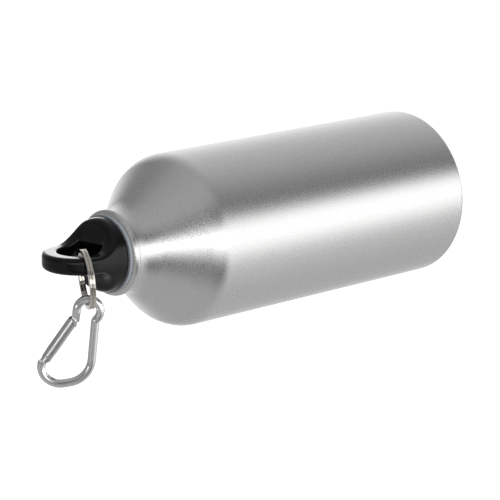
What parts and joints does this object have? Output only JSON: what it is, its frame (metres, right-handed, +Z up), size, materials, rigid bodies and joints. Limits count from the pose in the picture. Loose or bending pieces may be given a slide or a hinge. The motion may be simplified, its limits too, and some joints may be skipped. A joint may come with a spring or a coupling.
{
  "type": "aluminium sports bottle",
  "caption": "Slim aluminium water bottle with a round shoulder, rolled lip and black screw cap; a split ring on the cap's loop carries a small gourd-shaped snap hook with a sprung gate.",
  "frame": {"origin": "centre of the foot, on the surface the bottle stands on", "axes": "+Z up the bottle's axis to the cap; the cap's loop lies in the XZ plane with the ring on its +X leg; the ring and hook hang towards -Y"},
  "size_m": [0.073, 0.0871, 0.2144],
  "materials": {
    "aluminium_shell": "satin, very fine blasted grain",
    "black_plastic": "moulded",
    "cap_plastic": "satin moulded polypropylene",
    "silicone": "translucent silicone",
    "nickel_steel": "nickel plated",
    "hook_aluminium": "tumbled bright aluminium",
    "gate_aluminium": "fine drawn aluminium",
    "steel_pin": "bright",
    "spring_steel": "bright wire"
  },
  "bodies": {
    "bottle": {"bottle_body": "aluminium_shell", "neck_insert": "black_plastic"},
    "seal": {"cap_gasket": "silicone"},
    "cap": {"cap": "cap_plastic"},
    "ring": {"split_ring": "nickel_steel"},
    "hook": {"hook_body": "hook_aluminium"},
    "gate": {"hook_gate": "gate_aluminium", "hinge_pin": "steel_pin", "latch_pin": "steel_pin"},
    "plunger": {"gate_plunger": "steel_pin", "gate_spring": "spring_steel"}
  },
  "joints": [
    {"name": "cap_lift", "type": "slide", "parent": "bottle", "child": "seal", "axis": [0, 0, 1], "range_m": [0, 0.018]},
    {"name": "cap_turn", "type": "hinge", "parent": "seal", "child": "cap", "pos_m": [0, 0, 0.18], "axis": [0, 0, 1], "range_deg": [0, 1621]},
    {"name": "ring_swing", "type": "hinge", "parent": "cap", "child": "ring", "pos_m": [0.0107, 0, 0.1992], "axis": [-0.4772, 0, 0.8788], "range_deg": [-25, 60]},
    {"name": "hook_swing", "type": "hinge", "parent": "ring", "child": "hook", "pos_m": [0.01105, -0.0184, 0.1987], "axis": [0.7199, 0, 0.694], "range_deg": [-40, 40]},
    {"name": "gate_open", "type": "hinge", "parent": "hook", "child": "gate", "pos_m": [-0.00056, -0.03733, 0.21074], "axis": [-0.7199, 0, -0.694], "range_deg": [0, 20.02], "stiffness_Nm_per_rad": 0.02, "springref_deg": -22.92},
    {"name": "plunger_slide", "type": "slide", "parent": "gate", "child": "plunger", "axis": [0.3981, 0.8192, -0.4129], "range_m": [0, 0.00026]}
  ],
  "couplings": [
    {"joint": "cap_turn", "follows": "cap_lift", "rad_per_m": 1570.8},
    {"joint": "gate_open", "follows": "plunger_slide", "rad_per_m": 1342.5}
  ]
}
